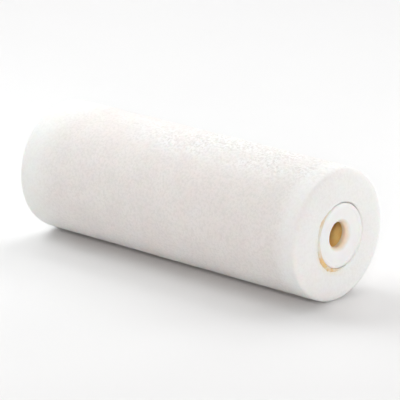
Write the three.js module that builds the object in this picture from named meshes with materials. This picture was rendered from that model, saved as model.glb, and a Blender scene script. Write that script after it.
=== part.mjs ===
// Mini paint roller refill, 100 mm wide: a foam sleeve with a flocked pile, bonded to a two-ply
// spiral-wound paper core that has a moulded bush pressed into each end for the frame's wire.
//
// Millimetres. The roller's axis is X, Z is up, and the origin is on the axis at mid-length.
// Every round piece is a closed profile of [x, radius] points turned about X.

import * as THREE from 'three';

// Sleeve. Its shoulders are a quarter of an ellipse, longer across the end than along the side,
// and the end sinks a little from there to the flange.
const SLEEVE_LENGTH = 100;
const SLEEVE_RADIUS = 17.9;
const SHOULDER_LENGTH = 2;
const SHOULDER_DEPTH = 4;
const END_SINK = 0.35;
const PILE_THICKNESS = 0.8;

// Core.
const CORE_RADIUS = 7.5;
const PLY_THICKNESS = 0.55;
const GLUE_THICKNESS = 0.3;

// End bush: a dished flange with a flat rim, just inside the sleeve's end, a rod hole with a
// funnel mouth that ends in a short hub, and a barbed spigot around the hub.
const FLANGE_RADIUS = 8.7;
const FLANGE_THICKNESS = 1;
const FLANGE_INSET = 0.2;
const FLANGE_EDGE = 0.4;
const RIM_WIDTH = 0.7;
const DISH_DEPTH = 0.35;
const MOUTH_RADIUS = 4.4;
const THROAT_RADIUS = 3.4;
const FUNNEL_DEPTH = 1;
const HUB_DEPTH = 2.6;
const SPIGOT_LENGTH = 2.4;
const SPIGOT_WALL = 0.6;
const BARB_HEIGHT = 0.2;
const BARB_PITCH = 0.9;
const BARB_SLOPE = 0.6;
const BARB_COUNT = 2;
const SPIGOT_TAPER = 0.15;

// Bead of hot-melt glue that squeezed out beside each flange, as angles from the top.
const BEAD_START = THREE.MathUtils.degToRad(22);
const BEAD_END = THREE.MathUtils.degToRad(196);
const BEAD_THIN = 0.7;
const BEAD_LUMP = 1;
const BEAD_HEIGHT = 0.25;
const BEAD_STEPS = 24;

// Clearances between neighbours.
const BOND_GAP = 0.1;
const FLANGE_GAP = 0.3;

const FACETS = 36;
const HALF_FACET = Math.PI / FACETS;

const halfLength = SLEEVE_LENGTH / 2;
const flangeFace = halfLength - FLANGE_INSET;
const flangeBack = flangeFace - FLANGE_THICKNESS;
const coreHalfLength = flangeBack - BOND_GAP;
const innerPlyRadius = CORE_RADIUS - PLY_THICKNESS - BOND_GAP;
const coreBoreRadius = innerPlyRadius - PLY_THICKNESS;
const glueRadius = CORE_RADIUS + BOND_GAP + GLUE_THICKNESS;
const foamBoreRadius = glueRadius + BOND_GAP;
const pileHoleRadius = FLANGE_RADIUS + FLANGE_GAP;
const crownRadius = SLEEVE_RADIUS - SHOULDER_DEPTH;
const barbRadius = coreBoreRadius - BOND_GAP;

const paint = (color, roughness) =>
  new THREE.MeshStandardMaterial({ color, roughness, metalness: 0 });

const materials = {
  pile: paint(0xf1efec, 0.95),
  foam: paint(0xf3f0e4, 0.9),
  kraft: paint(0xc08a4c, 0.85),
  kraftDark: paint(0xa9763e, 0.85),
  bush: paint(0xf2f4f6, 0.35),
  glue: paint(0xd9a663, 0.3),
};

// Points of [x, radius] on an ellipse, from one angle to another in degrees.
function ellipse(x, radius, halfX, halfRadius, from, to, steps) {
  return Array.from({ length: steps + 1 }, (_, i) => {
    const angle = THREE.MathUtils.degToRad(from + ((to - from) * i) / steps);
    return [x + halfX * Math.cos(angle), radius + halfRadius * Math.sin(angle)];
  });
}

function arc(x, radius, size, from, to, steps) {
  return ellipse(x, radius, size, size, from, to, steps);
}

// A ring about X, with a flat facet under it. Each facet touches its true circle from outside.
// The profile runs along the bore from left to right, and back along the outside.
function turn(profile) {
  const grow = 1 / Math.cos(HALF_FACET);
  const points = profile.map(([x, radius]) => new THREE.Vector2(grow * radius, x)).reverse();
  points.push(points[0].clone());
  const geometry = new THREE.LatheGeometry(points, FACETS, HALF_FACET);
  return geometry.rotateZ(-Math.PI / 2);
}

function tube(length, inner, outer) {
  const half = length / 2;
  return turn([[-half, inner], [half, inner], [half, outer], [-half, outer]]);
}

// The right shoulder and the left one of a layer of the sleeve, this far from the axis and from
// mid-length on its straight stretches.
function shoulders(half, radius, steps) {
  const x = halfLength - SHOULDER_LENGTH;
  const size = [half - x, radius - crownRadius];
  return [
    ...ellipse(x, crownRadius, ...size, 0, 90, steps),
    ...ellipse(-x, crownRadius, ...size, 90, 180, steps),
  ];
}

function pileGeometry() {
  return turn([
    [-halfLength + END_SINK, pileHoleRadius],
    [-flangeBack, pileHoleRadius],
    ...shoulders(flangeBack, SLEEVE_RADIUS - PILE_THICKNESS, 4).reverse(),
    [flangeBack, pileHoleRadius],
    [halfLength - END_SINK, pileHoleRadius],
    ...shoulders(halfLength, SLEEVE_RADIUS, 6),
  ]);
}

function foamGeometry() {
  return turn([
    [-coreHalfLength, foamBoreRadius],
    [coreHalfLength, foamBoreRadius],
    ...shoulders(coreHalfLength, SLEEVE_RADIUS - PILE_THICKNESS - BOND_GAP, 4),
  ]);
}

// Shaped like the bush at the +X end.
function bushGeometry() {
  const spigotEnd = flangeBack - SPIGOT_LENGTH;
  const spigotRadius = barbRadius - BARB_HEIGHT;
  const spigotBore = spigotRadius - SPIGOT_WALL;
  const rimOuter = FLANGE_RADIUS - FLANGE_EDGE;
  const profile = [
    [spigotEnd, spigotBore],
    [flangeBack - DISH_DEPTH / 2, spigotBore],
    [flangeFace - HUB_DEPTH, THROAT_RADIUS],
    [flangeFace - DISH_DEPTH - FUNNEL_DEPTH, THROAT_RADIUS],
    [flangeFace - DISH_DEPTH, MOUTH_RADIUS],
    [flangeFace, rimOuter - RIM_WIDTH],
    ...arc(flangeFace - FLANGE_EDGE, rimOuter, FLANGE_EDGE, 0, 90, 3),
    [flangeBack, FLANGE_RADIUS],
    [flangeBack, spigotRadius],
  ];
  for (let i = 0; i < BARB_COUNT; i++) {
    const x = flangeBack - BARB_PITCH / 2 - i * BARB_PITCH;
    profile.push([x, spigotRadius], [x, barbRadius], [x - BARB_SLOPE, spigotRadius]);
  }
  profile.push([spigotEnd, spigotRadius - SPIGOT_TAPER]);
  return turn(profile);
}

// A crescent with two lumps on the sunk pile beside the flange at the +X end.
function beadGeometry() {
  const inner = FLANGE_RADIUS + BOND_GAP;
  const outer = inner + BEAD_THIN + BEAD_LUMP;
  const sink = END_SINK * (crownRadius - outer) / (crownRadius - pileHoleRadius);
  const base = halfLength - sink + BOND_GAP;
  const at = (angle, radius) =>
    new THREE.Vector2(-radius * Math.sin(angle), radius * Math.cos(angle));
  const angles = Array.from({ length: BEAD_STEPS + 1 }, (_, i) =>
    THREE.MathUtils.lerp(BEAD_START, BEAD_END, i / BEAD_STEPS));
  const width = (angle) => {
    const t = (angle - BEAD_START) / (BEAD_END - BEAD_START);
    const taper = Math.sqrt(Math.sin(Math.PI * THREE.MathUtils.clamp(t, 0.02, 0.98)));
    const lumps = Math.cos(2 * Math.PI * (0.83 * t - 0.11)) ** 2;
    return taper * (BEAD_THIN + BEAD_LUMP * lumps);
  };
  const shape = new THREE.Shape([
    ...angles.map((angle) => at(angle, inner)),
    ...angles.map((angle) => at(angle, inner + width(angle))).reverse(),
  ]);
  const geometry = new THREE.ExtrudeGeometry(shape, { depth: BEAD_HEIGHT, bevelEnabled: false });
  const axes = new THREE.Matrix4().makeBasis(
    new THREE.Vector3(0, 1, 0), new THREE.Vector3(0, 0, 1), new THREE.Vector3(1, 0, 0));
  return geometry.applyMatrix4(axes).translate(base, 0, 0);
}

function piece(name, geometry, material) {
  const mesh = new THREE.Mesh(geometry, material);
  mesh.name = name;
  return mesh;
}

// The bush and the glue bead of one end. The far end is the near end turned about Z.
function end(side, turned) {
  const assembly = new THREE.Group();
  assembly.add(piece(`${side}_bush`, bushGeometry(), materials.bush));
  assembly.add(piece(`${side}_glue_bead`, beadGeometry(), materials.glue));
  assembly.rotation.z = turned;
  return assembly;
}

const core = new THREE.Group();
core.add(piece('core_outer_ply',
  tube(2 * coreHalfLength, innerPlyRadius + BOND_GAP, CORE_RADIUS), materials.kraft));
core.add(piece('core_inner_ply',
  tube(2 * coreHalfLength, coreBoreRadius, innerPlyRadius), materials.kraftDark));

const sleeve = new THREE.Group();
sleeve.add(piece('pile_cover', pileGeometry(), materials.pile));
sleeve.add(piece('foam_sleeve', foamGeometry(), materials.foam));
sleeve.add(piece('core_glue_line',
  tube(2 * coreHalfLength, CORE_RADIUS + BOND_GAP, glueRadius), materials.glue));

const group = new THREE.Group();
group.add(sleeve, core, end('near', 0), end('far', Math.PI));

export default group;
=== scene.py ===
"""The looks of a mini paint roller refill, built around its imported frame.

Metres, +Z up. The roller lies on its side with its axis along X and its near end at +X.
"""

import math

import bpy
import numpy as np
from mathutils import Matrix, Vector, noise


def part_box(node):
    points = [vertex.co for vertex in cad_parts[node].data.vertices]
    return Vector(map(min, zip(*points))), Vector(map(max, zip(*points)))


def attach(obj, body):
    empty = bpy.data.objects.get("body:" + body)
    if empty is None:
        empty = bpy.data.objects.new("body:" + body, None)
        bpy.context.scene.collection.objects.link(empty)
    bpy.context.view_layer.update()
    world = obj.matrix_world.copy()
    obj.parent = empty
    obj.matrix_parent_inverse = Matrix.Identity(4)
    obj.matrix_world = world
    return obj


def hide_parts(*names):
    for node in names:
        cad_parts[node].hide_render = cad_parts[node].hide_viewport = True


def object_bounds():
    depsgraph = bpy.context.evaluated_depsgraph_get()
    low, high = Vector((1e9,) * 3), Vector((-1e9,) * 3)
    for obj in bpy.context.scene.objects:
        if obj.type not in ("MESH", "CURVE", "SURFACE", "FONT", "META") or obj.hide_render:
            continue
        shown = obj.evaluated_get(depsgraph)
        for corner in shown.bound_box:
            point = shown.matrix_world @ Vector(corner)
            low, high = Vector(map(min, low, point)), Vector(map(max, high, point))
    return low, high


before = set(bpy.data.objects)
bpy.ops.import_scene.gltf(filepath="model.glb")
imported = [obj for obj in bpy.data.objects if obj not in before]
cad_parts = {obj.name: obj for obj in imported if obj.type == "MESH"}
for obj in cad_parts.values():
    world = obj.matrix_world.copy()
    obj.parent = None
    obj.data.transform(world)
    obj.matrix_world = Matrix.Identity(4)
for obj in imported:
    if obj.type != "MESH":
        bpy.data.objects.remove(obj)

cad_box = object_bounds()

MM = 0.001

# ---------------------------------------------------------------- sizes, from the frame

pile_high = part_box("pile_cover")[1]
foam_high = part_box("foam_sleeve")[1]
outer_ply_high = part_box("core_outer_ply")[1]
inner_ply_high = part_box("core_inner_ply")[1]
glue_line_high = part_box("core_glue_line")[1]
bush_low, bush_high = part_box("near_bush")
bead_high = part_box("near_glue_bead")[1]

HALF_LENGTH = pile_high.x
SLEEVE_RADIUS = pile_high.z
FLANGE_FACE = bush_high.x
FLANGE_RADIUS = bush_high.z
SPIGOT_END = bush_low.x
CORE_HALF_LENGTH = outer_ply_high.x

# Sizes that a box can't give, as in the CAD part.
SHOULDER_LENGTH = 2 * MM
SHOULDER_DEPTH = 4 * MM
END_SINK = 0.35 * MM
PILE_THICKNESS = 0.8 * MM
PLY_THICKNESS = 0.55 * MM
FLANGE_THICKNESS = 1 * MM
FLANGE_EDGE = 0.4 * MM
FLANGE_GAP = 0.3 * MM
BOND_GAP = 0.1 * MM
RIM_WIDTH = 0.7 * MM
DISH_DEPTH = 0.35 * MM
MOUTH_RADIUS = 4.4 * MM
THROAT_RADIUS = 3.4 * MM
FUNNEL_DEPTH = 1 * MM
HUB_DEPTH = 2.6 * MM
SPIGOT_WALL = 0.6 * MM
SPIGOT_TAPER = 0.15 * MM
BARB_HEIGHT = 0.2 * MM
BARB_PITCH = 0.9 * MM
BARB_SLOPE = 0.6 * MM
BARB_COUNT = 2

PILE_HOLE_RADIUS = FLANGE_RADIUS + FLANGE_GAP
FLANGE_BACK = FLANGE_FACE - FLANGE_THICKNESS
CORE_BORE_RADIUS = inner_ply_high.z - PLY_THICKNESS
CROWN_RADIUS = SLEEVE_RADIUS - SHOULDER_DEPTH

# The pile's relief, from points this far apart. The sleeve narrows a little towards its ends.
PILE_STEP = 0.4 * MM
TAPER = 0.15 * MM
TAPER_LENGTH = 8 * MM
TUFT_SIZE = 0.8 * MM
TUFT_HEIGHT = 0.10 * MM
GRAIN_SIZE = 0.5 * MM
GRAIN_HEIGHT = 0.04 * MM
SWELL_SIZE = 9 * MM
SWELL_HEIGHT = 0.10 * MM
END_RELIEF = 0.35

# The nap stands up most along the top, and lies flat towards the far end. In the same band the
# pile is painted whiter: a painted highlight.
NAP_RAISE = 3
NAP_LOW_Z = 0.74 * SLEEVE_RADIUS
NAP_FULL_Z = 0.96 * SLEEVE_RADIUS
NAP_FLAT_X = -32 * MM
NAP_FULL_X = 4 * MM

# Single fibres, shorter on the ends. Their lengths and widths lie between two numbers of mm.
FIBRE_COUNT = 42000
FIBRE_SEED = 7
FIBRE_LENGTH = (0.16, 0.42)
FIBRE_WIDTH = (0.025, 0.045)
FIBRE_LEAN = 0.45
FIBRE_ROOT = 0.15 * MM
END_FIBRE = 0.45

# The glue bead beside the near flange, as angles from the top, towards -Y.
BEAD_START = math.radians(22)
BEAD_END = math.radians(196)
BEAD_THIN = 0.7 * MM
BEAD_LUMP = 1.0 * MM
BEAD_UNEVEN = 0.35

# How many points there are round each turned piece.
FOAM_SEGMENTS = 180
PLY_SEGMENTS = 100
GLUE_SEGMENTS = 96
BUSH_SEGMENTS = 192


# ---------------------------------------------------------------- mesh tools

def ellipse(x, radius, half_x, half_radius, start, stop, steps):
    """Points (x, radius) on an ellipse, from one angle to another in degrees."""
    angles = np.radians(np.linspace(start, stop, steps + 1))
    return np.column_stack([x + half_x * np.cos(angles), radius + half_radius * np.sin(angles)])


def arc(x, radius, size, start, stop, steps):
    return ellipse(x, radius, size, size, start, stop, steps)


def path(*parts):
    """One array of points from arrays and single points."""
    return np.vstack([np.atleast_2d(np.array(part, float)) for part in parts])


def resampled(points, step):
    """The same line with points at an even spacing close to step."""
    lengths = np.linalg.norm(np.diff(points, axis=0), axis=1)
    along = np.concatenate([[0], np.cumsum(lengths)])
    even = np.linspace(0, along[-1], max(2, round(along[-1] / step) + 1))
    return np.column_stack([np.interp(even, along, points[:, i]) for i in range(2)])


def filleted(points, size, steps):
    """A line whose inner corners are rounded by quadratic curves, size from each corner."""
    rounded = [points[0]]
    for before, corner, after in zip(points, points[1:], points[2:]):
        to_before, to_after = before - corner, after - corner
        reach = min(size, np.linalg.norm(to_before) / 2, np.linalg.norm(to_after) / 2)
        start = corner + to_before / np.linalg.norm(to_before) * reach
        stop = corner + to_after / np.linalg.norm(to_after) * reach
        for t in np.linspace(0, 1, steps):
            rounded.append((1 - t) ** 2 * start + 2 * t * (1 - t) * corner + t * t * stop)
    rounded.append(points[-1])
    return np.array(rounded)


def turned(profile, angles):
    """A grid of points [profile][angle]: the profile of (x, radius) turned about X."""
    x, radius = profile[:, 0, None], profile[:, 1, None]
    return np.stack([x + 0 * angles, radius * np.cos(angles), radius * np.sin(angles)], axis=-1)


def moved_out(grid, distance):
    """The same points, each moved away from the axis."""
    radial = grid * [0, 1, 1]
    return grid + radial / np.linalg.norm(radial, axis=-1, keepdims=True) * distance[..., None]


def full_circle(segments):
    return np.linspace(0, 2 * math.pi, segments, endpoint=False)


def ring_mesh(name, grid, material):
    """A closed body from a grid of points that joins up in both directions."""
    rows, columns = grid.shape[:2]
    index = np.arange(rows * columns).reshape(rows, columns)
    below, beside = np.roll(index, -1, axis=0), np.roll(index, -1, axis=1)
    corner = np.roll(below, -1, axis=1)
    faces = np.stack([index, beside, corner, below], axis=-1).reshape(-1, 4)
    return mesh_piece(name, grid.reshape(-1, 3), faces, material)


def signed_volume(points, faces):
    """Six times the volume of a closed body of triangles or quads."""
    fans = [faces[:, [0, i, i + 1]] for i in range(1, faces.shape[1] - 1)]
    corners = points[np.vstack(fans)]
    return np.einsum("ij,ij->", corners[:, 0], np.cross(corners[:, 1], corners[:, 2]))


def mesh_piece(name, points, faces, material):
    """A new object at the origin whose faces point out."""
    if signed_volume(points, faces) < 0:
        faces = faces[:, ::-1]
    mesh = bpy.data.meshes.new(name)
    mesh.vertices.add(len(points))
    mesh.vertices.foreach_set("co", points.astype(np.float32).ravel())
    mesh.loops.add(faces.size)
    mesh.loops.foreach_set("vertex_index", faces.astype(np.int32).ravel())
    mesh.polygons.add(len(faces))
    mesh.polygons.foreach_set("loop_start", np.arange(0, faces.size, faces.shape[1]))
    mesh.polygons.foreach_set("use_smooth", np.full(len(faces), True))
    mesh.update(calc_edges=True)
    mesh.validate()
    mesh.materials.append(material)
    piece = bpy.data.objects.new(name, mesh)
    bpy.context.scene.collection.objects.link(piece)
    return piece


def noise_field(points, size, basis="PERLIN_ORIGINAL"):
    """Noise with features about this size, one value for each point."""
    scaled = points.reshape(-1, 3) / size
    values = [noise.noise(Vector(p), noise_basis=basis) for p in scaled]
    return np.array(values).reshape(points.shape[:-1])


def smooth_step(low, high, value):
    t = np.clip((value - low) / (high - low), 0, 1)
    return t * t * (3 - 2 * t)


# ---------------------------------------------------------------- materials

class Shader:
    """A node material with one Principled surface, whose constants are set on its sockets."""

    def __init__(self, name, **constants):
        self.material = bpy.data.materials.new(name)
        self.material.use_nodes = True
        self.nodes = self.material.node_tree.nodes
        self.links = self.material.node_tree.links
        self.surface = self.nodes["Principled BSDF"]
        for socket, value in constants.items():
            self.surface.inputs[socket.replace("_", " ")].default_value = value

    def node(self, kind, settings=None, **inputs):
        """A new node. An input is a constant, or the output socket that feeds it."""
        made = self.nodes.new(kind)
        for key, value in (settings or {}).items():
            setattr(made, key, value)
        for key, value in inputs.items():
            socket = made.inputs[int(key[1:])] if key[1:].isdigit() else made.inputs[key]
            self.feed(socket, value)
        return made

    def feed(self, socket, value):
        if isinstance(value, bpy.types.NodeSocket):
            self.links.new(value, socket)
        else:
            socket.default_value = value

    def place(self):
        """Where a point of the surface lies, in the row frame."""
        return self.node("ShaderNodeTexCoord").outputs["Object"]

    def scaled(self, vector, x, y, z):
        return self.node("ShaderNodeMapping", Vector=vector, Scale=(x, y, z)).outputs[0]

    def noise(self, vector, size, detail, roughness=0.5):
        """Noise from 0 to 1, with features about this size."""
        made = self.node("ShaderNodeTexNoise", Vector=vector, Scale=1 / size, Detail=detail,
                         Roughness=roughness)
        return made.outputs["Fac"]

    def math(self, operation, *values):
        inputs = {f"i{i}": value for i, value in enumerate(values)}
        return self.node("ShaderNodeMath", {"operation": operation}, **inputs).outputs[0]

    def ramp(self, value, low, high, to_low=0.0, to_high=1.0):
        """A smooth step from to_low to to_high, as value goes from low to high."""
        made = self.node("ShaderNodeMapRange", {"interpolation_type": "SMOOTHSTEP"},
                         i0=value, i1=low, i2=high, i3=to_low, i4=to_high)
        return made.outputs[0]

    def mix(self, share, first, second):
        """A colour between two, each a tuple of red, green and blue, or a socket."""
        made = self.node("ShaderNodeMix", {"data_type": "RGBA"}, i0=share)
        for socket, colour in ((made.inputs[6], first), (made.inputs[7], second)):
            self.feed(socket, (*colour, 1) if isinstance(colour, tuple) else colour)
        return made.outputs[2]

    def radius(self, y, z):
        """How far a point lies from the axis."""
        squares = self.math("ADD", self.math("MULTIPLY", y, y), self.math("MULTIPLY", z, z))
        return self.math("SQRT", squares)

    def toward(self, y, z, y_share, z_share):
        """How far a point lies from the axis in one direction."""
        return self.math("ADD", self.math("MULTIPLY", y, y_share),
                         self.math("MULTIPLY", z, z_share))

    def bump(self, height, distance, strength, normal=None):
        inputs = {"Height": height, "Distance": distance, "Strength": strength}
        if normal is not None:
            inputs["Normal"] = normal
        return self.node("ShaderNodeBump", **inputs).outputs[0]

    def finish(self, colour, roughness=None, normal=None):
        self.feed(self.surface.inputs["Base Color"], colour)
        if roughness is not None:
            self.feed(self.surface.inputs["Roughness"], roughness)
        if normal is not None:
            self.feed(self.surface.inputs["Normal"], normal)
        return self.material


def pile_material():
    """White flock: clumped short fibres with painted shade in the hollows between clumps, a
    painted highlight along the top where the nap stands up, lighter towards the ends (partly
    painted light), and stained by the glue.
    """
    s = Shader("flocked_pile", Sheen_Weight=0.35, Sheen_Roughness=0.5, Specular_IOR_Level=0.15,
               Subsurface_Weight=0.25, Subsurface_Scale=1.2 * MM)
    place = s.place()
    clumps = s.noise(place, 0.7 * MM, 2)
    patches = s.noise(place, 7 * MM, 2)
    fibres = s.noise(place, 0.22 * MM, 2, 0.6)
    x, y, z = s.node("ShaderNodeSeparateXYZ", Vector=place).outputs
    # Lighter near both ends and on the end faces: partly the ends' own smoother tone, partly a
    # painted highlight where light falls on the ends.
    on_side = s.math("MULTIPLY", s.ramp(x, HALF_LENGTH - 10 * MM, HALF_LENGTH - 4 * MM, 1, 0),
                     s.ramp(x, 2 * MM - HALF_LENGTH, 18 * MM - HALF_LENGTH))
    # Along the top the pile is painted whiter, with more white flecks: a painted highlight where
    # the light falls, in the band where the nap is raised.
    raised_nap_and_painted_top_light = s.math("MULTIPLY", s.ramp(x, NAP_FLAT_X, NAP_FULL_X),
                     s.ramp(z, NAP_LOW_Z, NAP_FULL_Z))
    raised_nap_and_painted_top_light = s.math("MULTIPLY", raised_nap_and_painted_top_light, s.ramp(patches, 0.35, 0.6, 0.45, 0.9))

    side = s.mix(s.ramp(patches, 0.3, 0.7), (0.768, 0.73, 0.708), (0.793, 0.757, 0.735))
    side = s.mix(raised_nap_and_painted_top_light, side, (0.84, 0.838, 0.826))
    # The end tone is lighter than the side's: partly painted light.
    end = s.mix(s.ramp(patches, 0.3, 0.7), (0.826, 0.824, 0.808), (0.84, 0.838, 0.822))
    pile = s.mix(on_side, end, side)
    # Painted shade: the hollows between clumps are drawn darker, and darker still in the top band.
    hollow_painted_shade = s.math("MAXIMUM", s.math("MULTIPLY", s.ramp(clumps, 0.62, 0.3), 0.5),
                    s.math("MULTIPLY", s.ramp(clumps, 0.58, 0.40), raised_nap_and_painted_top_light))
    hollow_painted_shade = s.math("MULTIPLY", hollow_painted_shade, s.ramp(on_side, 0, 1, 0.3, 1))
    pile = s.mix(hollow_painted_shade, pile, (0.66, 0.635, 0.61))
    # White flecks over the whole side, and more of them along the top as a painted highlight.
    white_flecks_and_top_highlight = s.ramp(raised_nap_and_painted_top_light, 0, 1, 0.4, 0.8)
    pile = s.mix(s.math("MULTIPLY", s.ramp(fibres, 0.5, 0.78), white_flecks_and_top_highlight), pile,
                 (0.88, 0.868, 0.856))

    beside = s.math("MULTIPLY", y, s.math("SIGN", x))
    ragged = s.math("MULTIPLY", s.noise(place, 1.6 * MM, 3), 2.4 * MM)
    soaked = s.ramp(s.math("SUBTRACT", s.radius(y, z), ragged), FLANGE_RADIUS - 1.4 * MM,
                    FLANGE_RADIUS + 1.6 * MM, 1, 0)
    stained = s.math("MULTIPLY", soaked, s.ramp(s.toward(beside, z, -0.7, -0.7), 4 * MM, 9.5 * MM))
    pile = s.mix(s.math("MULTIPLY", stained, 0.55), pile, (0.80, 0.66, 0.46))

    tufts = s.bump(clumps, 0.10 * MM, 0.5)
    normal = s.bump(fibres, 0.05 * MM, 0.6, tufts)
    return s.finish(pile, s.ramp(fibres, 0.2, 0.8, 1.0, 0.85), normal)


def fibre_material():
    """Single fibres that stand out of the flock, some of them brighter."""
    s = Shader("flock_fibre", Sheen_Weight=0.2, Sheen_Roughness=0.4, Specular_IOR_Level=0.2,
               Roughness=0.8)
    shade = s.noise(s.place(), 0.5 * MM, 1)
    return s.finish(s.mix(s.ramp(shade, 0.3, 0.7), (0.745, 0.715, 0.695), (0.87, 0.855, 0.842)))


def foam_material():
    """Cream polyurethane foam with open cells, each cell's middle painted darker: painted shade in
    the cell holes.
    """
    s = Shader("polyurethane_foam", Specular_IOR_Level=0.2, Subsurface_Weight=0.3,
               Subsurface_Scale=1.5 * MM)
    place = s.place()
    cells = s.node("ShaderNodeTexVoronoi", {"feature": "F1"}, Vector=place,
                   Scale=1 / (0.45 * MM)).outputs["Distance"]
    # Painted shade: the middle of each cell is drawn darker and browner.
    pores_painted_shade = s.ramp(cells, 0.15, 0.55)
    drift = s.noise(place, 4 * MM, 2)
    wall = s.mix(drift, (0.84, 0.81, 0.72), (0.89, 0.87, 0.80))
    return s.finish(s.mix(pores_painted_shade, (0.60, 0.55, 0.44), wall), s.ramp(drift, 0.2, 0.8, 0.95, 0.8),
                    s.bump(cells, 0.25 * MM, 0.8))


def kraft_material(name, light, dark):
    """Spiral-wound kraft paper: fibres and darker flecks drawn out round the tube."""
    s = Shader(name, Specular_IOR_Level=0.3, Subsurface_Weight=0.15, Subsurface_Scale=0.8 * MM)
    place = s.place()
    along_strip = s.scaled(place, 4, 1, 1)
    streaks = s.noise(along_strip, 1.4 * MM, 5, 0.65)
    blotches = s.noise(place, 2.6 * MM, 2)
    flecks = s.noise(s.scaled(place, 3, 1, 1), 0.35 * MM, 2, 0.7)
    paper = s.mix(s.ramp(streaks, 0.32, 0.68), dark, light)
    golden = tuple(share * c for share, c in zip((1, 1.15, 1.25), light))
    paper = s.mix(s.ramp(blotches, 0.4, 0.65, 0, 0.7), paper, golden)
    paper = s.mix(s.ramp(flecks, 0.68, 0.78, 0, 0.45), paper, tuple(0.4 * c for c in dark))
    return s.finish(paper, s.ramp(streaks, 0.2, 0.8, 0.85, 0.65), s.bump(flecks, 0.05 * MM, 0.5))


def bush_material():
    """Satin white polypropylene, milky, with amber painted round its throat: painted light
    standing in for the core's colour shining through the thin wall.
    """
    s = Shader("white_polypropylene", IOR=1.49, Specular_IOR_Level=0.5, Subsurface_Weight=0.35,
               Subsurface_Scale=0.9 * MM)
    place = s.place()
    flow = s.noise(place, 5 * MM, 2)
    grain = s.noise(place, 0.12 * MM, 2)
    scuffs = s.noise(s.scaled(place, 1, 6, 1), 1.1 * MM, 4, 0.7)
    plastic = s.mix(s.ramp(flow, 0.3, 0.7), (0.825, 0.822, 0.815), (0.85, 0.85, 0.842))
    plastic = s.mix(s.ramp(scuffs, 0.62, 0.8, 0, 0.35), plastic, (0.76, 0.755, 0.74))
    x, y, z = s.node("ShaderNodeSeparateXYZ", Vector=place).outputs
    # Amber painted round the throat: painted light standing in for the core's colour shining
    # through the thin wall.
    uneven = s.math("MULTIPLY", s.noise(place, 1.5 * MM, 2), 0.9 * MM)
    painted_amber_glow = s.ramp(s.math("SUBTRACT", s.radius(y, z), uneven), THROAT_RADIUS - 0.5 * MM,
                  THROAT_RADIUS + 0.7 * MM, 0.75, 0)
    plastic = s.mix(painted_amber_glow, plastic, (0.84, 0.64, 0.40))
    rough = s.math("ADD", s.ramp(scuffs, 0.3, 0.8, 0.30, 0.55), s.ramp(flow, 0.2, 0.8, 0, 0.06))
    return s.finish(plastic, rough, s.bump(grain, 0.02 * MM, 0.35))


def glue_material():
    """Pale hot-melt glue, amber in its two thick lumps, with specks of dirt."""
    s = Shader("hot_melt_glue", IOR=1.5, Subsurface_Weight=0.5, Subsurface_Scale=1.0 * MM)
    place = s.place()
    x, y, z = s.node("ShaderNodeSeparateXYZ", Vector=place).outputs
    beside = s.math("MULTIPLY", y, s.math("SIGN", x))
    body = s.noise(place, 1.3 * MM, 3)
    specks = s.noise(place, 0.7 * MM, 1)
    lower_lump = s.ramp(s.toward(beside, z, -0.6, -0.8), 6.4 * MM, 8.8 * MM)
    upper_lump = s.ramp(s.toward(beside, z, -0.8, 0.6), 7.8 * MM, 9.8 * MM, 0, 0.6)
    thick = s.math("MAXIMUM", lower_lump, upper_lump)
    thick = s.math("MULTIPLY", thick, s.ramp(body, 0.3, 0.6, 0.35, 1))
    amber = s.mix(thick, (0.76, 0.72, 0.65), (0.80, 0.51, 0.23))
    amber = s.mix(s.ramp(specks, 0.68, 0.78, 0, 0.6), amber, (0.30, 0.18, 0.08))
    return s.finish(amber, s.ramp(body, 0.3, 0.7, 0.3, 0.5), s.bump(body, 0.12 * MM, 0.35))


def floor_material():
    """Smooth pale card."""
    s = Shader("pale_floor", Specular_IOR_Level=0.1, Roughness=0.9)
    tone = s.noise(s.place(), 60 * MM, 2)
    return s.finish(s.mix(tone, (0.78, 0.78, 0.78), (0.795, 0.795, 0.795)))


# ---------------------------------------------------------------- sleeve

def shoulder(half, radius, steps):
    """The near shoulder of a layer of the sleeve, with its straight stretches this far out."""
    x = HALF_LENGTH - SHOULDER_LENGTH
    return ellipse(x, CROWN_RADIUS, half - x, radius - CROWN_RADIUS, 0, 90, steps)


def pile_outside():
    """The outside of the sleeve from the near flange to the far one, with sunk ends."""
    radii = np.linspace(PILE_HOLE_RADIUS, CROWN_RADIUS, 24)
    sunk = END_SINK * ((CROWN_RADIUS - radii) / (CROWN_RADIUS - PILE_HOLE_RADIUS)) ** 2
    face = np.column_stack([HALF_LENGTH - sunk, radii])
    half = path(face[:-1], shoulder(HALF_LENGTH, SLEEVE_RADIUS, 32))
    outside = resampled(path(half, half[::-1] * [-1, 1]), PILE_STEP)
    on_shoulder = smooth_step(PILE_HOLE_RADIUS, CROWN_RADIUS, outside[:, 1])
    from_taper = np.clip((abs(outside[:, 0]) - HALF_LENGTH) / TAPER_LENGTH + 1, 0, 1)
    outside[:, 1] -= TAPER * from_taper ** 2 * on_shoulder
    return outside


def outward(profile):
    """Unit normals of a profile that runs from the near end to the far end."""
    along = np.gradient(profile, axis=0)
    normals = np.column_stack([along[:, 1], -along[:, 0]])
    return normals / np.linalg.norm(normals, axis=1, keepdims=True)


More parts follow.
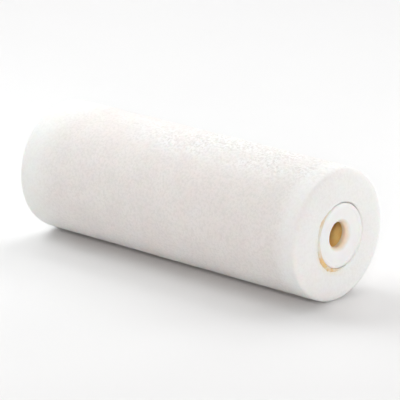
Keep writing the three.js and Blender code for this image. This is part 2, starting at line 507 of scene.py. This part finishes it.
def pile_relief(points):
    """How far the pile stands out at each point: clumps, grain, and a slow swell."""
    cells = noise_field(points, TUFT_SIZE, "VORONOI_F1")
    clumps = 1 - np.clip(cells / 0.75, 0, 1) ** 2
    grain = noise_field(points, GRAIN_SIZE)
    swell = noise_field(points, SWELL_SIZE)
    on_side = 1 - smooth_step(HALF_LENGTH - 3.2 * MM, HALF_LENGTH - 0.6 * MM, abs(points[..., 0]))
    off_hole = smooth_step(PILE_HOLE_RADIUS, PILE_HOLE_RADIUS + 1.2 * MM,
                           np.hypot(points[..., 1], points[..., 2]))
    raised_nap_and_painted_top_light = smooth_step(NAP_FLAT_X, NAP_FULL_X, points[..., 0])
    raised_nap_and_painted_top_light *= smooth_step(NAP_LOW_Z, NAP_FULL_Z, points[..., 2])
    rough = END_RELIEF + (1 - END_RELIEF) * on_side
    rough = rough * off_hole * (1 + NAP_RAISE * raised_nap_and_painted_top_light)
    tufts = TUFT_HEIGHT * (clumps - 0.75) + GRAIN_HEIGHT * grain
    return rough * tufts + SWELL_HEIGHT * off_hole * swell


def make_pile(material):
    outside = pile_outside()
    angles = full_circle(round(2 * math.pi * SLEEVE_RADIUS / PILE_STEP))
    skin = turned(outside, angles)
    normals = turned(outward(outside), angles)
    skin = skin + normals * pile_relief(skin)[..., None]
    half = path([FLANGE_BACK, PILE_HOLE_RADIUS],
                shoulder(FLANGE_BACK, SLEEVE_RADIUS - PILE_THICKNESS, 8))
    backing = resampled(path(half, half[::-1] * [-1, 1]), 2.5 * MM)[::-1]
    return ring_mesh("flock_pile", np.concatenate([skin, turned(backing, angles)]), material)


def make_fibres(material):
    """Closed three-sided spikes that lean at random out of the flock."""
    count = FIBRE_COUNT
    rng = np.random.default_rng(FIBRE_SEED)
    outside = pile_outside()
    normals = outward(outside)
    keep = slice(4, -4)
    outside, normals = outside[keep], normals[keep]
    weights = outside[:, 1] / outside[:, 1].sum()
    row = rng.choice(len(outside), count, p=weights)
    slide = rng.uniform(-0.5, 0.5, (count, 1)) * PILE_STEP
    tangent = np.column_stack([normals[row, 1], -normals[row, 0]])
    spot = outside[row] + slide * tangent
    angle = rng.uniform(0, 2 * math.pi, count)
    root = np.column_stack([spot[:, 0], spot[:, 1] * np.cos(angle), spot[:, 1] * np.sin(angle)])
    up = np.column_stack([normals[row, 0], normals[row, 1] * np.cos(angle),
                          normals[row, 1] * np.sin(angle)])
    lean = rng.normal(0, FIBRE_LEAN, (count, 3))
    grow = up + lean - up * np.einsum("ij,ij->i", lean, up)[:, None]
    grow /= np.linalg.norm(grow, axis=1, keepdims=True)
    on_side = 1 - smooth_step(HALF_LENGTH - 3 * MM, HALF_LENGTH - 0.6 * MM, abs(root[:, 0]))
    length = rng.uniform(*FIBRE_LENGTH, count) * (END_FIBRE + (1 - END_FIBRE) * on_side) * MM
    width = rng.uniform(*FIBRE_WIDTH, count) * MM
    helper = np.cross(grow, rng.normal(0, 1, (count, 3)))
    first = helper / np.linalg.norm(helper, axis=1, keepdims=True)
    second = np.cross(grow, first)
    buried = root - FIBRE_ROOT * up
    corners = [buried + width[:, None] * (math.cos(a) * first + math.sin(a) * second)
               for a in (0, 2 * math.pi / 3, 4 * math.pi / 3)]
    tip = root + grow * length[:, None]
    points = np.stack([*corners, tip], axis=1).reshape(-1, 3)
    spike = np.array([[0, 2, 1], [0, 1, 3], [1, 2, 3], [2, 0, 3]])
    faces = (np.arange(count)[:, None, None] * 4 + spike).reshape(-1, 3)
    return mesh_piece("flock_fibres", points, faces, material)


def make_foam(material):
    """The foam tube, with rounded shoulders under the pile and cells on its skin."""
    bore = glue_line_high.z + BOND_GAP
    lip = arc(foam_high.x - 0.4 * MM, bore + 0.4 * MM, 0.4 * MM, 270, 360, 4)
    face = resampled(path(lip[-1], [foam_high.x, CROWN_RADIUS]), 0.5 * MM)
    half = path(lip, face[1:-1], shoulder(foam_high.x, foam_high.z, 10))
    side = resampled(path(half[-1], half[-1] * [-1, 1]), 2 * MM)
    inside = resampled(path(half[0] * [-1, 1], half[0]), 3 * MM)
    profile = path(half, side[1:-1], half[::-1] * [-1, 1], inside[1:-1])
    grid = turned(profile, full_circle(FOAM_SEGMENTS))
    cells = noise_field(grid, 0.6 * MM, "VORONOI_F1") - 0.5
    ends = smooth_step(foam_high.x - 1 * MM, foam_high.x, abs(grid[..., 0]))
    grid[..., 0] -= 0.12 * MM * cells * ends * np.sign(grid[..., 0])
    return ring_mesh("polyurethane_foam_sleeve", grid, material)


# ---------------------------------------------------------------- core

SEAM_PITCH = 34 * MM
SEAM_WIDTH = 0.35 * MM
SEAM_DEPTH = 0.22 * MM


def make_ply(name, inner, outer, seam_start, groove_inside, material):
    """One ply of the spiral-wound tube. Its grid is twisted, so the butt seam is one column."""
    slant = SEAM_WIDTH / inner
    across = np.array([-1.6, -0.5, -0.4, 0.4, 0.5]) * slant
    rest = np.linspace(across[-1], 2 * math.pi + across[0], PLY_SEGMENTS)[1:-1]
    angles = np.concatenate([across, rest])
    in_seam = np.zeros(len(angles))
    in_seam[2:4] = 1
    half = CORE_HALF_LENGTH
    edge = 0.12 * MM
    xs = np.linspace(-half + edge, half - edge, 74)
    inside = path([-half, inner + edge], np.column_stack([xs, np.full(len(xs), inner)]),
                  [half, inner + edge])
    outside = path([half, outer - edge], np.column_stack([xs[::-1], np.full(len(xs), outer)]),
                   [-half, outer - edge])
    profile = path(inside, outside)
    twist = seam_start + 2 * math.pi * profile[:, 0] / SEAM_PITCH
    radius = profile[:, 1, None] + 0 * angles
    grooved = slice(0, len(inside)) if groove_inside else slice(len(inside), None)
    radius[grooved] += in_seam * SEAM_DEPTH * (1 if groove_inside else -1)
    turn = angles + twist[:, None]
    x = profile[:, 0, None] + 0 * angles
    grid = np.stack([x, radius * np.cos(turn), radius * np.sin(turn)], axis=-1)
    ripple = 0.03 * MM * noise_field(grid, 2.5 * MM)
    return ring_mesh(name, moved_out(grid, ripple), material)


def make_glue_line(material):
    """The adhesive between core and foam, uneven as it was brushed on."""
    inner, outer = outer_ply_high.z + BOND_GAP, glue_line_high.z
    half = glue_line_high.x
    inside = resampled(path([-half, inner], [half, inner]), 1.5 * MM)
    outside = resampled(path([half, outer], [-half, outer]), 1.5 * MM)
    profile = path(inside, outside)
    grid = turned(profile, full_circle(GLUE_SEGMENTS))
    ripple = 0.04 * MM * noise_field(grid, 3 * MM)
    return ring_mesh("core_adhesive", moved_out(grid, ripple), material)


# ---------------------------------------------------------------- bushes and glue beads

RIM_STEP = 0.12 * MM


def bush_profile():
    """Along the bore from the spigot's end to the face, over the rim, and back outside."""
    spigot = CORE_BORE_RADIUS - BOND_GAP - BARB_HEIGHT
    bore = spigot - SPIGOT_WALL
    dish = FLANGE_FACE - DISH_DEPTH
    rim_outer = FLANGE_RADIUS - FLANGE_EDGE
    rim_inner = rim_outer - RIM_WIDTH
    inside = filleted(path([SPIGOT_END, bore], [FLANGE_BACK - DISH_DEPTH / 2, bore],
                           [FLANGE_FACE - HUB_DEPTH, THROAT_RADIUS],
                           [dish - FUNNEL_DEPTH, THROAT_RADIUS], [dish, MOUTH_RADIUS],
                           [FLANGE_FACE - RIM_STEP, rim_inner - RIM_STEP],
                           [FLANGE_FACE, rim_inner], [FLANGE_FACE, rim_outer]), 0.25 * MM, 7)
    edge = arc(FLANGE_FACE - FLANGE_EDGE, rim_outer, FLANGE_EDGE, 0, 90, 10)
    barb_starts = [FLANGE_BACK - BARB_PITCH / 2 - i * BARB_PITCH for i in range(BARB_COUNT)]
    barbs = path(*([[x, spigot], [x, spigot + BARB_HEIGHT], [x - BARB_SLOPE, spigot]]
                   for x in barb_starts))
    outside = filleted(path(edge[-1], [FLANGE_BACK, FLANGE_RADIUS], [FLANGE_BACK, spigot], barbs,
                            [SPIGOT_END, spigot - SPIGOT_TAPER]), 0.06 * MM, 3)
    return path(inside, edge[1:], outside[1:])


def make_bush(name, facing, material):
    """facing is 1 for the near end, and -1 for the far end, which is turned about Z."""
    grid = turned(bush_profile(), full_circle(BUSH_SEGMENTS))
    waver = 0.015 * MM * noise_field(grid, 6 * MM)
    return ring_mesh(name, moved_out(grid, waver) * [facing, facing, 1], material)


def bead_width(t):
    """The bead's width along its run, as in the CAD part."""
    taper = np.sqrt(np.sin(math.pi * np.clip(t, 0.02, 0.98)))
    lumps = np.cos(2 * math.pi * (0.83 * t - 0.11)) ** 2
    return taper * (BEAD_THIN + BEAD_LUMP * lumps)


def make_bead(name, facing, material):
    """Hot-melt glue that climbs the flange's edge and spreads over the pile in lumps."""
    along = np.linspace(0, 1, 200)
    angle = BEAD_START + (BEAD_END - BEAD_START) * along
    inner = FLANGE_RADIUS + 0.04 * MM
    base = HALF_LENGTH - END_SINK - 0.1 * MM
    across = np.linspace(0, 1, 9)
    top = np.column_stack([across, np.sqrt(1 - across ** 2)])
    section = path(top, np.column_stack([across[::-1][1:-1], np.zeros(7)]), [0, 0])
    run = np.column_stack([along * 20, facing * np.ones(200), np.zeros(200)])
    wobble = noise_field(run, 1.7) + 0.5 * noise_field(run, 0.6)
    taper = np.sqrt(np.sin(math.pi * np.clip(along, 0.015, 0.985)))
    width = bead_width(along) * (1 + BEAD_UNEVEN * wobble) + 0.1 * MM
    rise = (bead_high.x - base) * (0.75 + 0.25 * wobble) * taper
    radius = inner + width[:, None] * section[:, 0]
    x = base + rise[:, None] * section[:, 1]
    y, z = -radius * np.sin(angle)[:, None], radius * np.cos(angle)[:, None]
    grid = np.stack([x, y, z], axis=-1)
    points = np.vstack([grid.reshape(-1, 3), grid[0].mean(0), grid[-1].mean(0)])
    index = np.arange(len(points) - 2).reshape(grid.shape[:2])
    beside = np.roll(index, -1, axis=1)
    faces = [(index[:-1], beside[:-1], beside[1:]), (index[:-1], beside[1:], index[1:]),
             (beside[0], index[0], np.full(index.shape[1], len(points) - 2)),
             (index[-1], beside[-1], np.full(index.shape[1], len(points) - 1))]
    triangles = np.vstack([np.stack(corners, axis=-1).reshape(-1, 3) for corners in faces])
    return mesh_piece(name, points * [facing, facing, 1], triangles, material)


# ---------------------------------------------------------------- build

pile = pile_material()
foam = foam_material()
outer_kraft = kraft_material("outer_kraft", (0.62, 0.37, 0.15), (0.45, 0.24, 0.08))
# The inner ply's paper is drawn much lighter and more orange than the outer ply's: painted light,
# standing in for light that barely reaches into the bore.
lit_inner_kraft = kraft_material("lit_inner_kraft", (0.99, 0.64, 0.22), (0.97, 0.57, 0.18))
bush = bush_material()
glue = glue_material()

flock_pile = make_pile(pile)
foam_tube = make_foam(foam)
parts = [
    (flock_pile, "pile_cover", "pile"),
    (foam_tube, "foam_sleeve", "foam"),
    (make_ply("kraft_outer_ply", inner_ply_high.z + BOND_GAP, outer_ply_high.z, 1.2, False,
              outer_kraft), "core_outer_ply", "kraft"),
    (make_ply("kraft_inner_ply", CORE_BORE_RADIUS, inner_ply_high.z, 0.4, True,
              lit_inner_kraft), "core_inner_ply", "kraft"),
    (make_glue_line(glue), "core_glue_line", "glue"),
    (make_bush("near_end_bush", 1, bush), "near_bush", "bush"),
    (make_bush("far_end_bush", -1, bush), "far_bush", "bush"),
    (make_bead("near_hot_melt", 1, glue), "near_glue_bead", "glue"),
    (make_bead("far_hot_melt", -1, glue), "far_glue_bead", "glue"),
]
for piece, node, slot in parts:
    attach(piece, "root")
    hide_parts(node)

fibres = make_fibres(fibre_material())
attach(fibres, "root")


# ---------------------------------------------------------------- studio

def make_floor(height):
    """A square of card, 3 m across, at this height."""
    half = 1.5
    corners = np.array([[-half, -half, height], [half, -half, height],
                        [half, half, height], [-half, half, height]])
    mesh = bpy.data.meshes.new("floor")
    mesh.from_pydata(corners.tolist(), [], [(0, 1, 2, 3)])
    mesh.materials.append(floor_material())
    floor = bpy.data.objects.new("floor", mesh)
    bpy.context.scene.collection.objects.link(floor)


def direction(azimuth, elevation):
    """A unit vector away from the roller, from degrees: azimuth 0 is -Y, and 90 is +X."""
    a, e = math.radians(azimuth), math.radians(elevation)
    return Vector((math.sin(a) * math.cos(e), -math.cos(a) * math.cos(e), math.sin(e)))


def make_light(name, azimuth, elevation, distance, size, power, colour=(1, 1, 1)):
    """A square softbox that faces the roller from a direction in degrees."""
    back = direction(azimuth, elevation)
    light = bpy.data.lights.new(name, "AREA")
    light.shape = "SQUARE"
    light.size = size
    light.energy = power
    light.color = colour
    lamp = bpy.data.objects.new(name, light)
    lamp.location = back * distance
    lamp.rotation_euler = back.to_track_quat("Z", "Y").to_euler()
    bpy.context.scene.collection.objects.link(lamp)


def make_camera(azimuth, elevation, distance, lens, aim_right, aim_down):
    """Looks at the origin from a direction in degrees, moved a little sideways to frame it."""
    back = direction(azimuth, elevation)
    right = direction(azimuth + 90, 0)
    down = right.cross(back)
    camera = bpy.data.objects.new("camera", bpy.data.cameras.new("camera"))
    camera.data.lens = lens
    camera.data.sensor_width = 36
    camera.location = back * distance + right * aim_right + down * aim_down
    camera.rotation_euler = back.to_track_quat("Z", "Y").to_euler()
    bpy.context.scene.collection.objects.link(camera)
    bpy.context.scene.camera = camera


# A little warm from the front, and a little cool on the ends.
WARM = (1, 0.955, 0.94)
COOL = (0.93, 0.99, 1)
COOLER = (0.85, 0.97, 1)
WORLD_STRENGTH = 0.04

make_floor(cad_box[0].z)
make_light("overhead_softbox", -20, 80, 0.7, 0.7, 0.6)
make_light("key_softbox", 45, 25, 0.9, 0.22, 3.0, WARM)
make_light("low_key_softbox", 37, 16, 0.9, 0.12, 1.3, WARM)
make_light("near_end_softbox", 95, 4, 0.9, 0.4, 0.36, COOLER)
make_light("near_end_strip", 140, 12, 0.3, 0.12, 0.26)
make_light("far_side_softbox", -60, 45, 0.22, 0.1, 0.125, COOL)
make_light("far_top_softbox", -100, 50, 0.7, 0.5, 2.5)
make_light("rim_softbox", 195, 35, 0.9, 0.5, 1.6)
make_light("back_softbox", 180, 55, 1.2, 0.8, 5.3)
world = bpy.data.worlds.new("studio")
world.use_nodes = True
background = world.node_tree.nodes["Background"]
background.inputs["Color"].default_value = (1, 1, 1, 1)
background.inputs["Strength"].default_value = WORLD_STRENGTH
bpy.context.scene.world = world
bpy.context.scene.view_settings.view_transform = "Standard"
make_camera(41.4, 17.65, 0.905, 303.5, 0.8 * MM, 0.7 * MM)
